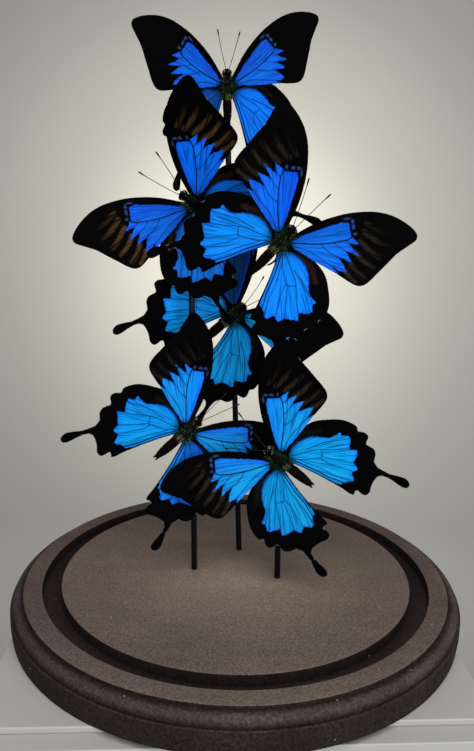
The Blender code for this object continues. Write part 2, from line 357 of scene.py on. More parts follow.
def baseProfile():
    b, ease = base, base["arris"]
    floor, beadTop = b["height"] - b["grooveDepth"], b["height"] - b["step"]
    rings = [(radius, b["height"], 0) for radius in (0, 6, 25, 50, 75, 95)]
    rings += [
        (b["disc"], b["height"], ease), (b["disc"], floor, 0.25), (b["groove"], floor, 0.25),
        (b["groove"], b["height"], ease), (b["land"], b["height"], ease),
    ]
    for i in range(b["beadSteps"] + 1):
        angle = math.pi / 2 * i / b["beadSteps"]
        rings.append((b["land"] + b["beadWidth"] * math.sin(angle),
                      beadTop - b["beadDrop"] * (1 - math.cos(angle)), 0))
    rings += [
        (b["quirk"], b["bandTop"], 0), (b["radius"], b["bandTop"], ease), (b["radius"], b["waist"], 0.3),
        (b["foot"], 0, 0.5), (100, 0, 0), (60, 0, 0), (0, 0, 0),
    ]
    return easedProfile(rings)


# where a rod's axis is at a height above the disc
def rodPoint(spec, height):
    x, y = (foot + lean * height for foot, lean in zip(spec["foot"], spec["lean"]))
    return Vector((x, y, base["height"] + height))


def rodBar(spec, bottom, top, radius):
    start, end = rodPoint(spec, bottom), rodPoint(spec, top)
    turned = (end - start).to_track_quat("Z", "Y").to_matrix().to_4x4()
    bm = bmesh.new()
    bmesh.ops.create_cone(bm, cap_ends=True, segments=rod["sides"], radius1=radius, radius2=radius,
                          depth=(end - start).length, matrix=Matrix.Translation((start + end) / 2) @ turned)
    return bm


# MDF turned and rubbed with a thin grey-brown stain: matte and finely speckled by its fibres. Its colour also
# holds painted light
# and shade, read from a value on the mesh: paler on the lit flat top, nearly black in the groove, where
# painted shade lies over gathered stain
def stainedBoard():
    material, tree, shader = newMaterial("stained turned board", 0.12, 0.85)
    place = addNode(tree, "ShaderNodeTexCoord", {}).outputs["Object"]
    paintedLightAndStain = addNode(tree, "ShaderNodeAttribute", {}, attribute_name="paintedLightAndStain").outputs["Fac"]
    # fibres 1.4 mm and grit 1.2 mm apart, and patches of stain 40 mm across
    fibre = addNode(tree, "ShaderNodeTexNoise", {
        "Vector": place, "Scale": 700, "Detail": 4, "Roughness": 0.7}).outputs["Fac"]
    grit = addNode(tree, "ShaderNodeTexNoise", {"Vector": place, "Scale": 850, "Detail": 2}).outputs["Fac"]
    patch = addNode(tree, "ShaderNodeTexNoise", {
        "Vector": place, "Scale": 26, "Detail": 4, "Roughness": 0.6}).outputs["Fac"]
    strokes = addNode(tree, "ShaderNodeMapping", {
        "Vector": place, "Scale": (24, 160, 24), "Rotation": (0, 0, 0.08)}).outputs[0]
    rubbed = addNode(tree, "ShaderNodeTexNoise", {"Vector": strokes, "Scale": 1, "Detail": 3}).outputs["Fac"]
    # the stain's colour runs from deep painted shade at 0 to the lit top at 1
    stain = addNode(tree, "ShaderNodeValToRGB", {"Fac": paintedLightAndStain})
    steps = ((0.0, "130e0d"), (0.2, "221a18"), (0.45, "32292a"), (0.7, "463c38"), (1.0, "776a60"))
    while len(stain.color_ramp.elements) < len(steps):
        stain.color_ramp.elements.new(0.5)
    for element, (position, shade) in zip(stain.color_ramp.elements, steps):
        element.position = position
        element.color = linear(shade)
    yellowed = addNode(tree, "ShaderNodeMapRange", {
        "Value": patch, "From Min": 0.5, "From Max": 0.7, "To Max": 0.45}).outputs[0]
    yellowedTop = addNode(tree, "ShaderNodeMath", {0: yellowed, 1: paintedLightAndStain}, operation="MULTIPLY").outputs[0]
    colour = addNode(tree, "ShaderNodeMix", {
        0: yellowedTop, 6: stain.outputs["Color"], 7: linear("534c3b")}, data_type="RGBA").outputs[2]
    # the grit shows most where the painted light is low: on the turned sides, in painted shade
    gritDark, gritBright = (
        addNode(tree, "ShaderNodeMath", {0: paintedLightAndStain, 1: gain, 2: start}, operation="MULTIPLY_ADD").outputs[0]
        for gain, start in ((0.4, 0.42), (-0.5, 1.7))
    )
    shades = (  # a texture, and how far it darkens and brightens
        (fibre, 0.84, 1.14), (grit, gritDark, gritBright), (patch, 0.88, 1.1), (rubbed, 0.95, 1.06),
    )
    for texture, dark, bright in shades:
        shade = addNode(tree, "ShaderNodeMapRange", {
            "Value": texture, "From Min": 0.32, "From Max": 0.68, "To Min": dark, "To Max": bright})
        colour = addNode(tree, "ShaderNodeVectorMath", {0: colour, 1: shade.outputs[0]},
                         operation="MULTIPLY").outputs[0]
    # a few pale specks of lint, about half a millimetre across
    lint = addNode(tree, "ShaderNodeTexVoronoi", {"Vector": place, "Scale": 100})
    speck = addNode(tree, "ShaderNodeMapRange", {
        "Value": lint.outputs["Distance"], "From Min": 0.045, "From Max": 0.02, "To Max": 0.6})
    dusted = addNode(tree, "ShaderNodeMix", {
        0: speck.outputs[0], 6: colour, 7: linear("a8a29a")}, data_type="RGBA")
    bump = addNode(tree, "ShaderNodeBump", {"Height": fibre, "Strength": 0.3, "Distance": 0.0002})
    setInputs(tree, shader, {"Base Color": dusted.outputs[2], "Normal": bump.outputs[0]})
    return material


# paints light and shade on each ring of the board as a value from 0 to 1, lighter towards the front
def paintLightAndShade(mesh):
    b, top = base, base["height"]
    values = []
    for vert in mesh.vertices:
        radius, height = math.hypot(*vert.co.xy) / mm, vert.co.z / mm
        front = max(0, -vert.co.y / mm)
        # the disc: a painted pool of light, lightest at its centre and darker towards its rim
        if height > top - 0.2 and radius < b["disc"]:
            value = 1 - (1 - paintedLightLevels["discRim"]) * min(1, radius / paintedLightLevels["discRun"])
        # the land: painted light, darker than the disc and lighter in front
        elif height > top - 0.2 and radius < b["land"]:
            value = paintedLightLevels["land"] + paintedLightLevels["landInFront"] * min(1, front / paintedLightLevels["landRun"])
        # the groove: painted shade, nearly black, its floor painted a little lighter in front
        elif radius < b["groove"] + 0.3 and height > 1:
            floor = height < top - b["grooveDepth"] + 0.1 and radius > b["disc"] + 1
            value = paintedLightLevels["floorInFront"] * min(1, front / paintedLightLevels["floorRun"]) if floor else 0.0
        elif height > b["bandTop"] + 0.2:  # the bead, with painted shade along both its edges, below the step and above the quirk
            rise = (height - b["bandTop"] - 1) / 2.4
            value = max(0.04, paintedLightLevels["bead"] * min(1, rise, (top - b["step"] - height) / 0.5 + 0.1))
        # a painted highlight along the band's top arris
        elif height > b["bandTop"] - 0.4 and radius > b["quirk"] + 0.5:
            value = paintedLightLevels["bandArris"]
        # the band and all below it: painted shade
        else:
            value = paintedLightLevels["band"]
        values.append(value)
    mesh.attributes.new("paintedLightAndStain", "FLOAT", "POINT").data.foreach_set("value", values)


def buildBase():
    bm = spun(baseProfile(), base["spinSteps"])
    mesh = meshFrom("turnedBase", bm)
    piece = addPiece("turnedBase", mesh, "base", [stainedBoard()], sharp=35)
    for name, spec in rods.items():
        drill = meshFrom("drill", rodBar(spec, -9, 9, rod["radius"] + base["socketGap"]))
        cutter = bpy.data.objects.new("drill", drill)
        scene.collection.objects.link(cutter)
        bore = piece.modifiers.new("bore", "BOOLEAN")
        bore.object = cutter
        bore.solver = "EXACT"
        depsgraph = bpy.context.evaluated_depsgraph_get()
        bored = bpy.data.meshes.new_from_object(piece.evaluated_get(depsgraph))
        piece.modifiers.clear()
        piece.data = bored
        bpy.data.objects.remove(cutter)
    paintLightAndShade(piece.data)


# cold-drawn steel rod, sprayed satin black: an even skin that only shows soft streaks of light
def blackRod():
    material, tree, shader = newMaterial("satin black rod paint", 0.12, 0.45)
    place = addNode(tree, "ShaderNodeTexCoord", {}).outputs["Object"]
    mottle = addNode(tree, "ShaderNodeTexNoise", {"Vector": place, "Scale": 400, "Detail": 3}).outputs["Fac"]
    tint = addNode(tree, "ShaderNodeMix", {
        0: mottle, 6: linear("020203"), 7: linear("070708")}, data_type="RGBA")
    gloss = addNode(tree, "ShaderNodeMapRange", {"Value": mottle, "To Min": 0.38, "To Max": 0.55})
    setInputs(tree, shader, {"Base Color": tint.outputs[2], "Roughness": gloss.outputs[0]})
    return material


def buildRods():
    paint = blackRod()
    for name, spec in rods.items():
        bm = rodBar(spec, -rod["depth"], spec["top"], rod["radius"])
        ends = [edge for edge in bm.edges if abs(edge.calc_face_angle(0)) > math.radians(60)]
        bmesh.ops.bevel(bm, geom=ends, offset=0.25, offset_type="OFFSET", segments=3, profile=0.5,
                        affect="EDGES", material=-1)
        word = name.split("_")[1].title()
        addPiece("rod" + word, meshFrom("rod" + word, bm), name, [paint])


buildBase()
buildRods()
print("base and rods ready")


# Places are the thorax's centre above the disc. "heading" swings the head to the right, "lean" tips it
# towards the viewer, "turn" twists it about the vertical and "forward" moves the body along itself.
# "feelers" are the left and the right antenna's angle at its root and at its tip, and its full-size length.
# "forewing" and "hindwing" are the blue of the left and the right one, which differ because the light and
# shade that falls on each wing, by its angle to the light, is painted into its blue; the key after them is a
# painted sheen, a paler blue laid towards their hind edge and along some rays. "streaks" is how strongly the
# brown rays show, "hazel" and "down" are the colours of those and of the hair on the hindwings, "dots" is how
# many pale scales the head has and "hooked" says that a leg stands out.
butterflies = {
    "butterfly_1": {
        "at": (-10.2, 21.0, 267.5), "heading": -6.2, "lean": 11.8, "turn": 21.7, "size": 0.875,
        "raise": (7.6, 7.1), "foreSweep": (33.6, 38.4), "hindSweep": (-57.4, -55.3), "forward": 0.0,
        "feelers": ((20, 16, 23.2), (18, 17, 22.4)),
        "forewing": ("0848b5", "0747b1"), "hindwing": ("0f458d", "066ee6"), "paintedSheen": "1478ee",
        "streaks": 0.08, "hazel": "1c1814", "down": "241a12", "dots": 3, "hooked": False,
    },
    "butterfly_2": {
        "at": (-23.7, -8.3, 204.5), "heading": -53.6, "lean": 18.3, "turn": 0.9, "size": 0.939,
        "raise": (19.1, 19.2), "foreSweep": (42.5, 40.2), "hindSweep": (-51.2, -57.3), "forward": 0.0,
        "feelers": ((9, 5.8, 25.6), (28, 23.2, 26.0)),
        "forewing": ("0648b8", "076cfc"), "hindwing": ("1168c5", "147cfc"), "paintedSheen": "1478ee",
        "streaks": 1.0, "hazel": "402d18", "down": "3c281a", "dots": 12, "hooked": False,
    },
    "butterfly_3": {
        "at": (18.0, -24.9, 186.4), "heading": 41.6, "lean": 9.4, "turn": 1.2, "size": 0.947,
        "raise": (14.0, 14.2), "foreSweep": (49.2, 50.0), "hindSweep": (-45.2, -51.2), "forward": 0.0,
        "feelers": ((24, 26.6, 25.9), (0, 1.6, 25.1)),
        "forewing": ("0652d4", "0651b0"), "hindwing": ("0a80e1", "0676db"), "paintedSheen": "1478ee",
        "streaks": 0.8, "hazel": "241f16", "down": "38241a", "dots": 2, "hooked": True,
    },
    "butterfly_4": {
        "at": (-4.7, 20.8, 146.0), "heading": 50.4, "lean": 4.0, "turn": 20.1, "size": 1.012,
        "raise": (5.0, 4.6), "foreSweep": (39.5, 43.6), "hindSweep": (-56.8, -58.2), "forward": -2.5,
        "feelers": ((13, 19, 19.9), (12, 12, 20.0)),
        # the dark blue of the left forewing is a painted shadow, cast by the wings above it
        "forewing": ("0a2450", "1088c8"), "hindwing": ("119bfa", "0e89cc"), "paintedSheen": "14a0c4",
        "streaks": 0.2, "hazel": "1c1814", "down": "221812", "dots": 2, "hooked": False,
    },
    "butterfly_5": {
        "at": (-29.7, -8.4, 83.5), "heading": 52.4, "lean": -0.7, "turn": 20.9, "size": 0.97,
        "raise": (9.4, 9.4), "foreSweep": (41.9, 43.0), "hindSweep": (-48.8, -53.7), "forward": 0.0,
        "feelers": ((8, 8, 22.0), (12.5, 14, 24.6)),
        "forewing": ("0e76e0", "0860b7"), "hindwing": ("0982d2", "0a58b8"), "paintedSheen": "14a0c4",
        "streaks": 0.6, "hazel": "1e1a15", "down": "221a14", "dots": 8, "hooked": False,
    },
    "butterfly_6": {
        "at": (23.3, -19.4, 72.1), "heading": -54.5, "lean": -0.3, "turn": -11.0, "size": 0.975,
        "raise": (8.1, 8.2), "foreSweep": (41.6, 37.4), "hindSweep": (-58.3, -59.7), "forward": 0.0,
        "feelers": ((33, 34, 22.0), (15.5, 17, 26.0)),
        "forewing": ("0c6ec5", "1085e5"), "hindwing": ("097fbc", "0c90d6"), "paintedSheen": "14a0c4",
        "streaks": 0.7, "hazel": "2b241a", "down": "161e18", "dots": 24, "hooked": False,
    },
}

# A full-size right wing lies flat, in mm: x runs out along it and y towards its front edge, from the root.
# "patch" is the blue field's rim, a spot or a lunule is (x, y, half length, half height), "streaks" are
# brown rays, "down" is a line of hair, and the blue's rays fan out "fanFrom" a point.
forewing = {
    "outline": [
        (-1.4, 1.4), (6, 4.4), (13, 7.2), (19, 9), (25, 10.2), (30.5, 10.9), (36, 11.1), (44, 10.5),
        (48.5, 9.5), (53, 7.8), (57, 5.5), (61, 2.4), (64.2, -1), (65.6, -3.8), (64.8, -6.2),
        (61.6, -8.2), (55, -12), (50, -16.2), (45, -20.4), (40.2, -24.4), (37, -26), (33.8, -25.8),
        (30, -23.4), (24, -18.6), (16, -13), (8, -7.6), (2, -4.4), (-1.2, -2.8),
    ],
    "patch": [
        (3, 0.6), (8, 2.3), (14, 3.9), (20, 5.2), (25, 6.2), (29, 6.9), (32, 6.3), (33.2, 5), (32.7, 3.4),
        (33.1, 1.8), (33.2, 0.2), (33.9, -1.3), (35.6, -3.6), (37.2, -5.6), (34.2, -4.8), (31.8, -4.2),
        (33.6, -7.2), (35.2, -9.4), (36.6, -11), (34, -9.8), (31.5, -8.4), (29.3, -7.3), (31, -10.4),
        (32, -12.6), (32.6, -14.4), (30.6, -13), (28.3, -11.6), (25.7, -10.2), (27.3, -13.2),
        (28.4, -16.2), (29, -18.7), (27.2, -17.9), (25, -17), (22.6, -15.2), (24.1, -17.6),
        (25.6, -20.4), (23, -18.9), (18, -14.9), (12, -10.1), (7, -6.2), (3.4, -3.2), (2.4, -1.4),
    ],
    "spots": [(31.6, 8.4, 1.7, 0.55), (34.3, 7.0, 0.8, 1.1), (34.6, 4.0, 0.75, 1.5), (35.1, 0.4, 0.9, 0.75)],
    "mainVeins": [
        [(1.5, -0.6), (8, -1.4), (15, -2.4), (22, -2.7), (28, -2.5), (31, -2.1), (33.4, -1.1)],
        [(33, 7.2), (32.8, 4.6), (33.2, 1.5), (33.4, -1.1)],
    ],
    "veins": [
        [(24.2, -2.9), (26.5, -5.2), (29.3, -7.3), (33.5, -12), (44.6, -20.4)],
        [(30.2, -2.3), (31.8, -4.2), (40, -9.2), (51, -15)],
        [(17.4, -2.7), (19.5, -5.5), (22.5, -8.2), (25.7, -10.2), (30, -15.5), (39.2, -24.3)],
        [(0.6, 1.3), (13, 6.9), (25, 9.9), (36, 10.8), (48.5, 9.2), (56, 5.8)],
        [(0.5, 1.6), (10, 4.6), (20, 7), (30, 8.6), (38, 9.4)],
        [(1, 0.6), (10, 3.4), (20, 5.6), (28, 7.4), (33, 7.2)],
        [(28, 7.4), (36, 8.4), (45, 8.6), (52, 7.4)], [(33, 7.2), (40, 6.6), (48, 5), (58, 3.4)],
        [(33.2, 6), (42, 3.9), (50, 1.5), (61.5, -1.5)], [(33.2, 3.5), (42, 0.2), (53, -3.9), (63.6, -7)],
        [(33.2, 0.6), (40, -3.8), (50, -8.2), (58.2, -10)],
        [(1.4, -1.6), (8, -4.2), (12, -6.3), (17, -10.4), (22.5, -15.1), (27, -19.3), (31.6, -24)],
    ],
    "streaks": [
        [(41, 5), (46, 1.6), (53, -2)], [(39.5, 1.2), (44, -3.2), (51.5, -8.5)],
        [(37.5, -3.2), (41, -8.2), (46.5, -13)], [(34.5, -8.4), (38, -13.6), (42.5, -17.6)],
        [(31.4, -14), (34, -18.6), (38, -22.4)], [(28.8, -18), (30.6, -21.4), (33, -24)],
    ],
    "streakWidth": 1.45, "lunules": [], "down": [], "fanFrom": (-6, 0),
}
hindwing = {
    "outline": [
        (-2.6, 0.6), (-2, 3.6), (-0.6, 9.6), (4.4, 18.4), (11, 24.6), (19, 27.4), (26, 28.5), (31, 27.7),
        (34.2, 26.2), (35.3, 24), (39, 23.6), (40.9, 21.8), (40.5, 17.6), (44.6, 15.4), (46, 12.8),
        (46, 8.6), (48.3, 5.6), (54.8, 3.2), (60, 2.7), (63.3, 2), (65.4, 0), (65.5, -2), (63.9, -3.2),
        (61, -2.5), (57.6, -0.7), (54, 0.8), (51, 1.2), (48.9, 0.2), (47.4, -2.4), (46.4, -6),
        (46, -9.6), (44, -11.7), (41.6, -11), (39.6, -9.8), (38.4, -10.6), (38.2, -12.6), (36.4, -12.6),
        (30, -9.6), (14, -4), (2, -0.8),
    ],
    "patch": [
        (0.4, 4.4), (2.2, 8.2), (4.6, 11.6), (7.6, 14.2), (11.4, 16), (16, 16.9), (20, 17), (22, 17.8),
        (23.6, 19.4), (24.6, 19.8), (25.3, 21.6), (26.5, 21.3), (27.2, 19.7), (31, 20.2), (32, 18.6),
        (32.3, 15.4), (32.4, 12.9), (34.4, 13), (36.4, 13.4), (36.4, 10.4), (36, 7.6), (35.7, 5.6),
        (36.9, 4.2), (38.2, 2.6), (36.6, 1.1), (35.1, -0.1), (36.1, -2.2), (37, -4), (35.8, -5.5),
        (33.4, -5.7), (31.6, -6.8), (30.2, -8), (27, -7.6), (22, -6.1), (14, -3.7), (6, -1.5), (1.4, -0.2),
    ],
    "spots": [],
    "mainVeins": [[(2, 1), (10, -0.9), (17, -2.8), (23, -5), (30, -6.4), (39.6, -9.8)]],
    "veins": [
        [(0.2, 2.6), (1.5, 10), (6, 17.6), (12.5, 23.4), (19, 26.6)],
        [(10, 8.6), (15, 12), (17, 13.5), (20, 14.9), (31.5, 19), (38.6, 23)],
        [(17.2, 10), (19, 10.3), (25, 11.3), (30, 12.1), (33, 13), (40.3, 17.6)],
        [(18.4, 6.6), (19.5, 5.9), (25, 5.7), (36, 6), (45.6, 8.6)],
        [(18.1, 5.2), (18.5, 4.4), (22, 3), (28, 1.9), (36, 0.8), (48, 2.2), (60, 0.4), (64.8, -0.9)],
        [(7, 1.6), (11, 0.7), (17, -0.4), (22, -2), (28, -3.8), (35, -5), (46, -8)],
        [(1.6, 0), (14, -3.4), (30, -8.8), (37, -12)],
        [(2, 3), (8, 6), (13, 8.5), (17, 10), (20, 10.4)],
        [(2, 1.6), (9, 2.2), (13, 3.6), (16, 4.6), (18.3, 5.3)], [(18.1, 5.2), (18.3, 7), (18, 9.8)],
    ],
    "streaks": [], "streakWidth": 1.0,
    "lunules": [
        (35.6, 21.6, 2.0, 1.1), (39.6, 15.2, 1.5, 1.6), (42.4, 9.8, 1.4, 1.8), (42.6, 3.4, 1.6, 1.5),
        (42.4, -2.8, 1.5, 1.6), (40.2, -7.6, 1.6, 1.0), (34.8, -9.6, 1.7, 0.9),
    ],
    "down": [[(0.8, 8.6), (3.8, 13.6), (8.8, 17.8), (15, 20)]], "fanFrom": (-6, 1),
}
sheet = {  # a wing's sheet in mm, its veins, and its folds between them
    "cell": 0.5, "thickness": 0.24, "vein": 0.26, "veinTaper": 0.12, "veinRun": 37.5, "fold": 0.055,
    "foldWidth": 2.4, "bow": 0.00012,
}
markings = {  # in mm: how wide the pale fringe, its notches and the hair are, and where brown rays begin
    "fringe": 0.4, "notch": 1.5, "down": 2.8, "rayStart": 4, "rayFade": 8,
}


# a fine sheet of one wing, in mm, with its veins and with its markings measured as attributes
def wingTemplate(name, wing):
    outline = smoothLine(wing["outline"], closed=True)
    cell = sheet["cell"]
    low, high = outline.min(axis=0) - cell, outline.max(axis=0) + cell
    columns, rows = (int(n) for n in np.ceil((high - low) / cell))
    middle, reach = (low + high) / 2, (high - low) / 2
    bm = bmesh.new()
    bmesh.ops.create_grid(bm, x_segments=columns, y_segments=rows, size=1,
                          matrix=Matrix.Translation((*middle, 0)) @ Matrix.Diagonal((*reach, 1, 1)))
    depth = depthIn(outline, np.array([vert.co.xy for vert in bm.verts]))
    bm.verts.index_update()
    outside = [face for face in bm.faces if all(depth[vert.index] <= 0 for vert in face.verts)]
    bmesh.ops.delete(bm, geom=outside, context="FACES")
    # what is left over the edge is drawn back onto the outline
    places = np.array([vert.co.xy for vert in bm.verts])
    depth = depthIn(outline, places)
    edge = nearestOn(np.vstack([outline, outline[:1]]), places)[0]
    for vert, inside, spot in zip(bm.verts, depth, edge):
        if inside < 0:
            vert.co.xy = spot
    bmesh.ops.remove_doubles(bm, verts=bm.verts, dist=0.02)
    bmesh.ops.solidify(bm, geom=bm.faces[:], thickness=sheet["thickness"])
    bmesh.ops.recalc_face_normals(bm, faces=bm.faces)
    heights = [vert.co.z for vert in bm.verts]
    bmesh.ops.translate(bm, vec=(0, 0, -(min(heights) + max(heights)) / 2), verts=bm.verts)
    for face in bm.faces:
        face.material_index = 1 if face.normal.z < -0.5 else 0
    ribs = []
    for vein in wing["mainVeins"] + wing["veins"]:
        line = smoothLine(vein, step=1.2)
        radii = sheet["vein"] - sheet["veinTaper"] * np.clip(np.hypot(*line.T) / sheet["veinRun"], 0, 1)
        ribs.append((np.column_stack([line, np.zeros(len(line))]), radii))
    absorb(bm, tubes(ribs))
    mesh = bpy.data.meshes.new(name)
    bm.to_mesh(mesh)
    bm.free()
    measure(mesh, wing, outline)
    return mesh


# the shortest distance from each place to any of some curved lines
def nearestLine(lines, places):
    gaps = [nearestOn(smoothLine(line, step=1.0), places)[1] for line in lines]
    return np.min(gaps, axis=0) if gaps else np.full(len(places), 9.0)


def pointsOf(mesh):
    points = np.empty(len(mesh.vertices) * 3)
    mesh.vertices.foreach_get("co", points)
    return points.reshape(-1, 3)


# the notches between a wing's scallops: an outline runs clockwise, so it turns left there
def hollowsOf(wing):
    corners = np.array(wing["outline"], float)
    before, after = corners - np.roll(corners, 1, axis=0), np.roll(corners, -1, axis=0) - corners
    turns = before[:, 0] * after[:, 1] - before[:, 1] * after[:, 0]
    return corners[(turns > 3) & (corners[:, 0] > 30)]


# writes each point's distance from the markings, and folds the sheet a little between its veins
def measure(mesh, wing, outline):
    points = pointsOf(mesh)
    flat = points[:, :2]
    mainVeins = nearestLine(wing["mainVeins"], flat)
    veins = np.minimum(nearestLine(wing["veins"], flat), mainVeins)
    margin = nearestOn(np.vstack([outline, outline[:1]]), flat)[1]
    nearHollow = np.full(len(flat), 9.0)
    for hollow in hollowsOf(wing):
        nearHollow = np.minimum(nearHollow, np.hypot(*(flat - hollow).T))
    blue = depthIn(np.array(wing["patch"], float), flat)
    faded = np.exp(-(np.maximum(-blue - markings["rayStart"], 0) / markings["rayFade"]) ** 2)
    offset = flat - np.array(wing["fanFrom"])
    values = {
        "blue": np.maximum(blue, -4),
        "spot": np.maximum(spotDepth(wing["spots"], flat), -4),
        "vein": np.minimum(veins, 4),
        "mainVein": np.minimum(mainVeins, 4),
        "streak": np.exp(-(nearestLine(wing["streaks"], flat) / wing["streakWidth"]) ** 4) * faded,
        "fringe": np.exp(-margin / markings["fringe"]) * np.exp(-(nearHollow / markings["notch"]) ** 2),
        "down": np.exp(-(nearestLine(wing["down"], flat) / markings["down"]) ** 2),
        "lunule": np.maximum(spotDepth(wing["lunules"], flat), -4),
    }
    for key, value in values.items():
        mesh.attributes.new(key, "FLOAT", "POINT").data.foreach_set("value", value.astype(np.float32))
    vectors = {
        "place": points.copy(),
        "fan": np.column_stack([
            np.hypot(*offset.T), np.degrees(np.arctan2(offset[:, 1], offset[:, 0])), points[:, 2]]),
    }
    for key, value in vectors.items():
        attribute = mesh.attributes.new(key, "FLOAT_VECTOR", "POINT")
        attribute.data.foreach_set("vector", value.ravel().astype(np.float32))
    fold = sheet["fold"] * np.cos(np.pi * np.minimum(veins / sheet["foldWidth"], 1))
    points[:, 2] += fold - sheet["bow"] * flat[:, 0] ** 2
    mesh.vertices.foreach_set("co", points.ravel())


# lays colours over a first one, each where its value goes from low to high, at its full strength at high
def layered(tree, colour, layers):
    for value, low, high, strength, shade in layers:
        factor = addNode(tree, "ShaderNodeMapRange", {
            "Value": value, "From Min": low, "From Max": high, "To Max": strength},
            interpolation_type="SMOOTHSTEP")
        over = shade if isinstance(shade, bpy.types.NodeSocket) else linear(shade)
        colour = addNode(tree, "ShaderNodeMix", {0: factor.outputs[0], 6: colour, 7: over},
                         data_type="RGBA").outputs[2]
    return colour


# what measure() wrote on the sheet, as sockets
def readMarkings(tree, *keys):
    read = {key: addNode(tree, "ShaderNodeAttribute", {}, attribute_name=key).outputs["Fac"] for key in keys}
    for key in ("place", "fan"):
        read[key] = addNode(tree, "ShaderNodeAttribute", {}, attribute_name=key).outputs["Vector"]
    return read


# adds the textures that break up a wing's markings to what was read
def addTextures(tree, read, seed):
    place, fan = read["place"], read["fan"]
    read["reach"], read["bearing"] = addNode(tree, "ShaderNodeSeparateXYZ", {"Vector": fan}).outputs[:2]
    combed = addNode(tree, "ShaderNodeMapping", {
        "Vector": fan, "Location": (seed * 7, 0, 0), "Scale": (0.05, 0.62, 0)}).outputs[0]
    barbs = addNode(tree, "ShaderNodeMapping", {
        "Vector": place, "Rotation": (0, 0, 0.87), "Scale": (0.2, 1.9, 0)}).outputs[0]
    textures = {  # rows of scales are about 0.1 mm apart and are drawn five times coarser, so that they show
        "rows": ("3D", {"Vector": place, "Scale": 1.9, "Detail": 2}),
        "rays": ("3D", {"Vector": combed, "Scale": 1, "Detail": 4, "Roughness": 0.6}),
        "threads": ("3D", {"Vector": barbs, "Scale": 1, "Detail": 2}),
        "wobble": ("4D", {"Vector": place, "Scale": 0.35, "Detail": 1, "W": seed * 3.1}),
    }
    for key, (dimensions, inputs) in textures.items():
        read[key] = addNode(tree, "ShaderNodeTexNoise", inputs, noise_dimensions=dimensions).outputs["Fac"]


# butterfly wing scales: black ones like velvet that give back next to no light, and blue ones whose fine
# layers make a strong blue, darker along the veins, green-black at the root and more violet at the rim
def blueScales(name, blue, spec, seed):
    material, tree, shader = newMaterial(name, 0.02, 0.6)
    read = readMarkings(tree, "blue", "spot", "vein", "mainVein", "streak", "fringe", "down")
    addTextures(tree, read, seed)
    rows, rays = read["rows"], read["rays"]
    broken = addNode(tree, "ShaderNodeMapRange", {
        "Value": read["threads"], "From Min": 0.35, "From Max": 0.6, "To Min": 0.45 * spec["streaks"],
        "To Max": spec["streaks"]}).outputs[0]
    mixed = {  # each starts from a value, to which products of a texture and a weight are added
        "patch": (read["blue"], (rows, 0.7), (read["wobble"], 1.2), (rays, 1.8)),  # its rim lies at 1.85
        "spot": (read["spot"], (rows, 1.2), (rays, 1.6)),
        "rooted": (0, (read["reach"], 0.1), (rays, 1.6)),
        "hazel": (0, (read["streak"], broken)),
        "hair": (0, (read["down"], rays)),
        "ragged": (0, (read["fringe"], read["wobble"])),
        "fadeStart": (1.7, (read["down"], -1.2)),  # the blue fades out under the hair
        "fadeEnd": (2.05, (read["down"], 2.2)),
    }
    for key, (value, *products) in mixed.items():
        for texture, weight in products:
            value = addNode(tree, "ShaderNodeMath", {0: texture, 1: weight, 2: value},
                            operation="MULTIPLY_ADD").outputs[0]
        mixed[key] = value
    # a painted sheen: a paler blue over the wing towards its hind edge and along the lighter rays, stronger
    # on the brighter wings
    paintedSheenStrength = 0.4 * min(1, 2 * linear(blue)[2])
    azure = layered(tree, linear(blue), (
        (read["bearing"], 8, -14, paintedSheenStrength, spec["paintedSheen"]),
        (mixed["patch"], 4.6, 1.9, 0.35, "1440d8"),
        (rays, 0.47, 0.64, 0.7, "03215e"),
        (rays, 0.46, 0.3, paintedSheenStrength, spec["paintedSheen"]),
        (read["vein"], 1.0, 0.2, 0.12, "052a70"),
        (read["vein"], 0.38, 0.14, 0.7, "031743"),
        (read["mainVein"], 0.5, 0.16, 0.95, "02091d"),
        (mixed["rooted"], 2.0, 1.45, 0.92, "062c32"),
    ))
    colour = layered(tree, linear("010102"), (
        (rows, 0.35, 0.75, 0.7, "040405"),
        (mixed["hazel"], 0, 1, 1.0, spec["hazel"]),
        (read["vein"], 0.7, 0.25, 0.85, "010101"),
        (mixed["hair"], 0.24, 0.62, 0.4, spec["down"]),
        (mixed["spot"], 1.1, 1.9, 0.45, "3c5694"),
        (mixed["patch"], mixed["fadeStart"], mixed["fadeEnd"], 1.0, azure),
        (mixed["ragged"], 0.2, 0.4, 0.35, "8a98a6"),
    ))
    matte = addNode(tree, "ShaderNodeMapRange", {
        "Value": mixed["patch"], "From Min": 1.7, "From Max": 2.3, "To Min": 0.75, "To Max": 0.45})
    bump = addNode(tree, "ShaderNodeBump", {"Height": rows, "Strength": 0.2, "Distance": 0.0001})
    setInputs(tree, shader, {"Base Color": colour, "Roughness": matte.outputs[0], "Normal": bump.outputs[0]})
    return material


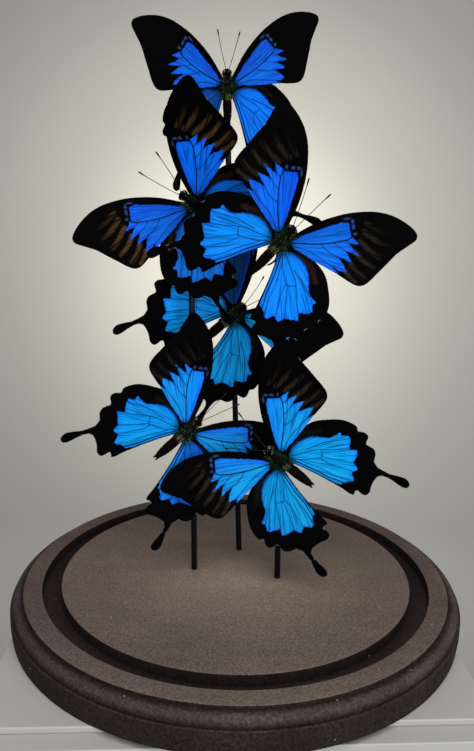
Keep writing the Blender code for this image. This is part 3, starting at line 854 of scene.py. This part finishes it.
# the wings' undersides: matte brown scales, paler between the veins, with lunules at the hind margin
def brownScales():
    material, tree, shader = newMaterial("brown underside scales", 0.12, 0.75)
    read = readMarkings(tree, "blue", "vein", "streak", "lunule", "fringe")
    combed = addNode(tree, "ShaderNodeMapping", {"Vector": read["fan"], "Scale": (0.06, 0.6, 0)}).outputs[0]
    rays = addNode(tree, "ShaderNodeTexNoise", {"Vector": combed, "Scale": 1, "Detail": 4}).outputs["Fac"]
    dust = addNode(tree, "ShaderNodeTexNoise", {
        "Vector": read["place"], "Scale": 2.4, "Detail": 3}).outputs["Fac"]
    colour = layered(tree, linear("33271e"), (
        (read["blue"], 1.0, -3.5, 0.5, "5c4c3d"),
        (rays, 0.35, 0.7, 0.5, "18110c"),
        (read["streak"], 0.3, 0.9, 0.6, "6b5e4f"),
        (dust, 0.5, 0.75, 0.35, "655644"),
        (read["vein"], 0.5, 0.15, 0.85, "100b07"),
        (read["lunule"], -0.7, -0.3, 0.9, "0d0907"),
        (read["lunule"], -0.1, 0.25, 0.95, "4a6c8a"),
        (read["lunule"], 0.45, 0.75, 0.95, "8c4c20"),
        (read["fringe"], 0.3, 0.8, 0.8, "a8a295"),
    ))
    bump = addNode(tree, "ShaderNodeBump", {"Height": dust, "Strength": 0.2, "Distance": 0.0001})
    setInputs(tree, shader, {"Base Color": colour, "Normal": bump.outputs[0]})
    return material


# x to the butterfly's right, y to its head, z to its back, in mm
def butterflyPlace(spec):
    x, y, z = spec["at"]
    return (
        Matrix.Translation((x, y, z + base["height"]))
        @ Matrix.Rotation(math.radians(spec["turn"]), 4, "Z")
        @ Matrix.Rotation(math.radians(spec["lean"]), 4, "X")
        @ Matrix.Rotation(math.radians(spec["heading"]), 4, "Y")
        @ Matrix.Rotation(math.radians(90), 4, "X")
    )


joints = {  # wing roots in the butterfly's own frame, and how much more each pair is raised
    "forewing": {"root": (2.6, 3.0, 1.1), "sweep": "foreSweep", "splay": 1.5},
    "hindwing": {"root": (2.6, -2.0, 0.2), "sweep": "hindSweep", "splay": -1.5},
}


def wingPlace(spec, kind, side):
    joint, index = joints[kind], (0 if side < 0 else 1)
    x, y, z = joint["root"]
    raised = math.radians(spec["raise"][index] + joint["splay"])
    sweep = math.radians(spec[joint["sweep"]][index])
    return (
        butterflyPlace(spec)
        @ Matrix.Translation(Vector((x * side, y, z)) * spec["size"])
        @ Matrix.Rotation(-side * raised, 4, "Y")
        @ Matrix.Rotation(side * sweep, 4, "Z")
        @ Matrix.Diagonal((spec["size"] * side, spec["size"], spec["size"], 1))
    )


def buildWings():
    wings = {"forewing": forewing, "hindwing": hindwing}
    templates = {kind: wingTemplate(kind, wing) for kind, wing in wings.items()}
    print("wing templates:", {kind: len(mesh.polygons) for kind, mesh in templates.items()})
    under = brownScales()
    for number, (name, spec) in enumerate(butterflies.items(), 1):
        for kind, template in templates.items():
            for word, side, blue in zip(("left", "right"), (-1, 1), spec[kind]):
                # each wing gets its own copy of the blue scales, its blue holding the light and shade painted
                # in for that wing
                upper = blueScales(f"blue {kind} {word} {number}", blue, spec, number + side * 0.3)
                mesh = template.copy()
                place = np.array(wingPlace(spec, kind, side))
                points = pointsOf(mesh) @ place[:3, :3].T + place[:3, 3]
                mesh.vertices.foreach_set("co", (points * mm).ravel())
                if side < 0:
                    mesh.flip_normals()
                mesh.update()
                addPiece(f"b{number}{kind.title()}{word.title()}", mesh, f"{name}_{kind}_{word}",
                         [upper, under], sharp=60)
        print(name, "wings ready")


buildWings()


bodyShape = {  # a full-size body along y, head positive, in mm; a profile is places along it and radii
    "trunk": [
        (11.8, 0), (11.5, 1.4), (10.6, 2.3), (9.2, 2.6), (7.9, 2.1), (6.4, 2.4), (4.6, 2.9), (1.5, 3.2),
        (-1.5, 3.1), (-4, 2.6), (-5.4, 1.9), (-6.2, 0),
    ],
    "abdomen": [
        (-3.2, 0), (-3.6, 1.9), (-5.5, 2.45), (-9, 2.7), (-14, 2.5), (-18.5, 1.8), (-20.4, 1.0), (-21.0, 0),
    ],
    "flat": 0.94, "rings": 8, "firstRing": -5.6, "ringStep": 1.95, "ringGroove": 0.08,
    "knobs": [  # the cleft tip of the abdomen, the eyes and the palps: place, half sizes, sides and slot
        ((0.95, -20.4, 0), (0.55, 1.8, 0.8), 12, 0),
        ((1.8, 9.9, 0.4), (1.35, 1.35, 1.35), 20, 2),
        ((0.6, 11.3, 0.1), (0.5, 0.8, 0.5), 10, 1),
    ],
    "feelerRoot": (0.6, 10.4, 1.2), "feelerLift": 0.14, "feelerThick": 0.19, "club": 0.24,
    "legs": [
        ((2.4, 3.4, -1.2), (4.6, 5.8, -2.0), (4.0, 2.0, -2.7)),
        ((2.2, 0.4, -1.4), (3.2, -1.6, -2.2), (1.9, -4.4, -2.8)),
        ((2.0, -2.2, -1.2), (2.4, -4.6, -2.0), (1.0, -8.0, -2.6)),
    ],
    "legThick": 0.42,
    "hook": ((2.2, -3.0, -1.4), (4.9, -7.2, -1.8), (4.7, -10.4, -2.0), (3.9, -12.4, -2.2)),
    "hookThick": 0.75,
}
# For each part of the coat: how many hairs, where along the body, and their length and width in mm. "lift" is
# how far they stand off the skin, "lean" how far they point to the head and "stray" how unruly they are.
coat = {
    "back": {
        "count": 3400, "along": (-5.6, 7.6), "length": (1.1, 2.4), "width": 0.08, "lift": 0.16, "lean": -1,
        "stray": 0.12, "rump": 0.45, "threads": 0.025,
    },
    "head": {
        "count": 800, "along": (6.5, 11.8), "length": (0.4, 0.9), "width": 0.07, "lift": 1, "lean": 0.15,
        "stray": 0.3,
    },
    "wingRoot": {"count": 300, "along": (-4.4, 7.4), "length": (1.0, 5.5), "width": 0.05},  # on each side
    "abdomen": {
        "count": 1800, "along": (-20.8, -3.8), "length": (0.45, 0.95), "width": 0.07, "lift": 0.35,
        "lean": -1, "stray": 0.14,
    },
}


def ball(at, half, sides):
    bm = bmesh.new()
    bmesh.ops.create_uvsphere(bm, u_segments=sides, v_segments=sides // 2 + 2, radius=1,
                              matrix=Matrix.Translation(at) @ Matrix.Diagonal((*half, 1)))
    return bm


# a profile turned about the body's length and flattened a little from back to belly
def turnedAlong(profile):
    bm = spun([(max(0, radius), along) for along, radius in profile], 32)
    bmesh.ops.rotate(bm, cent=(0, 0, 0), matrix=Matrix.Rotation(math.radians(-90), 3, "X"), verts=bm.verts)
    bmesh.ops.scale(bm, vec=(1, 1, bodyShape["flat"]), verts=bm.verts)
    return bm


# the abdomen's outline with a shallow groove between its segments
def ringed(outline):
    rings = [bodyShape["firstRing"] - ring * bodyShape["ringStep"] for ring in range(bodyShape["rings"])]
    profile = []
    for along, radius in outline:
        groove = sum(math.exp(-((along - ring) / 0.22) ** 2) for ring in rings)
        profile.append((along, radius * (1 - bodyShape["ringGroove"] * min(1, groove))))
    return profile


def feelerLine(angles, side):
    start, end, length = angles
    x, y, z = bodyShape["feelerRoot"]
    shares = np.linspace(0, 1, 25)
    turn = np.radians(start + (end - start) * shares)
    reach = length * shares
    line = np.column_stack([
        side * (x + reach * np.sin(turn)), y + reach * np.cos(turn), z + bodyShape["feelerLift"] * reach])
    return line, bodyShape["feelerThick"] + bodyShape["club"] * np.exp(-((shares - 0.95) / 0.08) ** 2)


def limbs(spec):
    lines = []
    for side, angles in zip((-1, 1), spec["feelers"]):
        lines.append(feelerLine(angles, side))
        for leg in bodyShape["legs"]:
            thick = bodyShape["legThick"]
            if spec["hooked"] and side > 0 and leg is bodyShape["legs"][-1]:
                # this one has a hairy leg crooked out beside its abdomen
                leg, thick = bodyShape["hook"], bodyShape["hookThick"]
            line = smoothLine([(x * side, y, z) for x, y, z in leg], corner=40)
            shares = np.linspace(0, 1, len(line))
            lines.append((line, thick * (1 - 0.45 * shares) + 0.05 * np.exp(-((shares - 0.5) / 0.06) ** 2)))
            foot = Vector(leg[-1])
            for splay in (-0.5, 0.5):  # two claws
                tip = foot + Vector((splay, -0.7, -0.1))
                lines.append(([(foot.x * side, foot.y, foot.z), (tip.x * side, tip.y, tip.z)], [0.14, 0.05]))
    return tubes(lines)


# a place on a turned outline between two places along the body, and the direction out of it
def onProfile(outline, ends, dice):
    while True:
        along, radius = outline[dice.randrange(len(outline))]
        if ends[0] < along < ends[1]:
            break
    angle = dice.uniform(0, math.tau)
    normal = Vector((math.cos(angle), 0, math.sin(angle)))
    along += dice.uniform(-0.2, 0.2)
    return Vector((radius * normal.x, along, radius * bodyShape["flat"] * normal.z)), normal


# every hair as (root, direction, length, width, tone), where tone runs from black through green to straw
def hairCoat(spec, trunk, belly, seed):
    dice = random.Random(seed)
    hairs = []

    # the direction, length and width of one hair on a part
    def combed(part, normal):
        stray = Vector([dice.gauss(0, part["stray"]) for axis in "xyz"])
        aim = normal * part["lift"] + Vector((0, part["lean"], 0)) + stray
        return aim, dice.uniform(*part["length"]), part["width"]

    back, head, wingRoot, abdomen = coat.values()
    for i in range(back["count"]):
        root, normal = onProfile(trunk, back["along"], dice)
        strand = Vector((root.x * 1.3, root.y * 0.25, root.z * 1.3))  # light and dark lie in long strands
        clump = 0.5 + 0.5 * noise.noise(strand + Vector((seed * 9, 0, 0)))
        tone = 0.95 * clump - 0.08 + dice.gauss(0, 0.08)
        rump = root.z > 0 and root.y < -1.5 and abs(root.x) < 1.8
        if dice.random() < back["rump" if rump else "threads"]:
            tone = dice.uniform(0.82, 0.97)  # straw-coloured at the rump, and a few threads before it
        hairs.append((root * 0.97, *combed(back, normal), tone))
    for i in range(head["count"]):
        root, normal = onProfile(trunk, head["along"], dice)
        hairs.append((root * 0.97, *combed(head, normal), abs(dice.gauss(0, 0.05))))
    # long silky hair that lies over the roots of the wings
    for side, raised in zip((-1, 1), spec["raise"]):
        rise = math.tan(math.radians(raised + 2))
        for i in range(wingRoot["count"]):
            y = dice.uniform(*wingRoot["along"])
            root = Vector((side * dice.uniform(1.0, 2.4), y, 1.55 if y > -0.6 else 0.9))
            fan = math.radians(8.2 * (y - 1.2) + dice.gauss(0, 12))
            aim = Vector((side * math.cos(fan), math.sin(fan), rise + dice.gauss(0, 0.04)))
            length = dice.uniform(*wingRoot["length"])
            hairs.append((root, aim, length, wingRoot["width"], dice.gauss(0.6, 0.16)))
    for i in range(abdomen["count"]):
        root, normal = onProfile(belly, abdomen["along"], dice)
        hairs.append((root * 0.98, *combed(abdomen, normal), abs(dice.gauss(0, 0.09))))
    return hairs


# the hairs as thin three-sided spikes, joined to a bmesh in one go
def growHair(bm, hairs):
    roots = np.array([hair[0] for hair in hairs])
    aims = np.array([hair[1].normalized() for hair in hairs])
    lengths, widths, tones = np.array([hair[2:] for hair in hairs]).T[:, :, None]
    across = np.cross(aims, (0.3, 0.2, 0.93))
    across /= np.linalg.norm(across, axis=1)[:, None]
    other = np.cross(aims, across)
    ring = [roots + widths * (across * math.cos(turn) + other * math.sin(turn))
            for turn in (0, math.tau / 3, math.tau * 2 / 3)]
    points = np.stack(ring + [roots + aims * lengths], axis=1).reshape(-1, 3)
    first = np.arange(len(hairs))[:, None] * 4
    faces = np.concatenate([first + corners for corners in ((0, 1, 3), (1, 2, 3), (2, 0, 3))])
    mesh = bpy.data.meshes.new("hair")
    mesh.from_pydata(points.tolist(), [], faces.tolist())
    grown = bmesh.new()
    grown.from_mesh(mesh)
    bpy.data.meshes.remove(mesh)
    absorb(bm, grown, 1)
    return np.repeat(np.clip(tones, 0, 1), 4)


# insect hair: black where its tone is 0, then brown, bronze-green and at last straw, without gloss
def greenHair():
    material, tree, shader = newMaterial("bronze-green insect hair", 0.0, 0.8)
    tone = addNode(tree, "ShaderNodeAttribute", {}, attribute_name="tone")
    ramp = addNode(tree, "ShaderNodeValToRGB", {"Fac": tone.outputs["Fac"]})
    steps = (
        (0.0, "030303"), (0.18, "120b08"), (0.34, "080906"), (0.55, "082418"), (0.76, "184030"),
        (0.9, "64582e"), (1.0, "9a957a"),
    )
    while len(ramp.color_ramp.elements) < len(steps):
        ramp.color_ramp.elements.new(0.5)
    for element, (position, shade) in zip(ramp.color_ramp.elements, steps):
        element.position = position
        element.color = linear(shade)
    setInputs(tree, shader, {"Base Color": ramp.outputs["Color"]})
    return material


# chitin under short scales: nearly black and dull, speckled with brown
def brownChitin():
    material, tree, shader = newMaterial("scaled brown chitin", 0.02, 0.7)
    place = addNode(tree, "ShaderNodeTexCoord", {}).outputs["Object"]
    speck = addNode(tree, "ShaderNodeTexNoise", {"Vector": place, "Scale": 1500, "Detail": 3}).outputs["Fac"]
    factor = addNode(tree, "ShaderNodeMapRange", {"Value": speck, "From Min": 0.42, "From Max": 0.68})
    tint = addNode(tree, "ShaderNodeMix", {
        0: factor.outputs[0], 6: linear("030202"), 7: linear("140b09")}, data_type="RGBA")
    bump = addNode(tree, "ShaderNodeBump", {"Height": speck, "Strength": 0.4, "Distance": 0.0001})
    setInputs(tree, shader, {"Base Color": tint.outputs[2], "Normal": bump.outputs[0]})
    return material


smallFinishes = {  # specular level, roughness, a texture, its settings, and the two shades that it mixes
    # a compound eye: black and glossy, with facets too fine to show but for a slight grain
    "compound eye": (0.5, 0.25, "ShaderNodeTexVoronoi", {"Scale": 5000}, "0b0907", "231a14"),
    # bare black chitin of antennae and legs: finely mottled, with a low shine
    "black chitin": (0.12, 0.5, "ShaderNodeTexNoise", {"Scale": 2500, "Detail": 2}, "040404", "100e0c"),
    # the white scales in dots on the collar, matte
    "white scale dots": (0.2, 0.7, "ShaderNodeTexNoise", {"Scale": 6000}, "8c918c", "c2c6c0"),
}


def smallFinish(name):
    specular, roughness, kind, settings, dark, light = smallFinishes[name]
    material, tree, shader = newMaterial(name, specular, roughness)
    place = addNode(tree, "ShaderNodeTexCoord", {}).outputs["Object"]
    grain = addNode(tree, kind, {"Vector": place, **settings}).outputs[0]
    tint = addNode(tree, "ShaderNodeMix", {0: grain, 6: linear(dark), 7: linear(light)}, data_type="RGBA")
    setInputs(tree, shader, {"Base Color": tint.outputs[2]})
    return material


def buildBodies():
    materials = [brownChitin(), greenHair(), *map(smallFinish, smallFinishes)]
    trunk, belly = (smoothLine(bodyShape[part], step=0.25) for part in ("trunk", "abdomen"))
    for number, (name, spec) in enumerate(butterflies.items(), 1):
        dice = random.Random(number * 31)
        bm = bmesh.new()
        absorb(bm, turnedAlong(ringed(belly)))
        absorb(bm, turnedAlong(trunk))
        for side in (-1, 1):
            for (x, y, z), half, sides, slot in bodyShape["knobs"]:
                absorb(bm, ball((x * side, y, z), half, sides), slot)
        for i in range(spec["dots"]):
            place = onProfile(trunk, (6.2, 11), dice)[0] * 1.08
            absorb(bm, ball((place.x, place.y, abs(place.z)), (dice.uniform(0.1, 0.17),) * 3, 6), 4)
        absorb(bm, limbs(spec), 3)
        tones = growHair(bm, hairCoat(spec, trunk, belly, number))
        moved = Matrix.Translation((0, spec["forward"], 0)) @ Matrix.Scale(spec["size"], 4)
        mesh = meshFrom(f"b{number}Body", bm, butterflyPlace(spec) @ moved)
        tones = np.concatenate([np.zeros(len(mesh.vertices) - len(tones)), tones])
        mesh.attributes.new("tone", "FLOAT", "POINT").data.foreach_set("value", tones.astype(np.float32))
        addPiece(f"b{number}Body", mesh, name + "_body", materials, sharp=70)
        print(name, "body ready")


buildBodies()
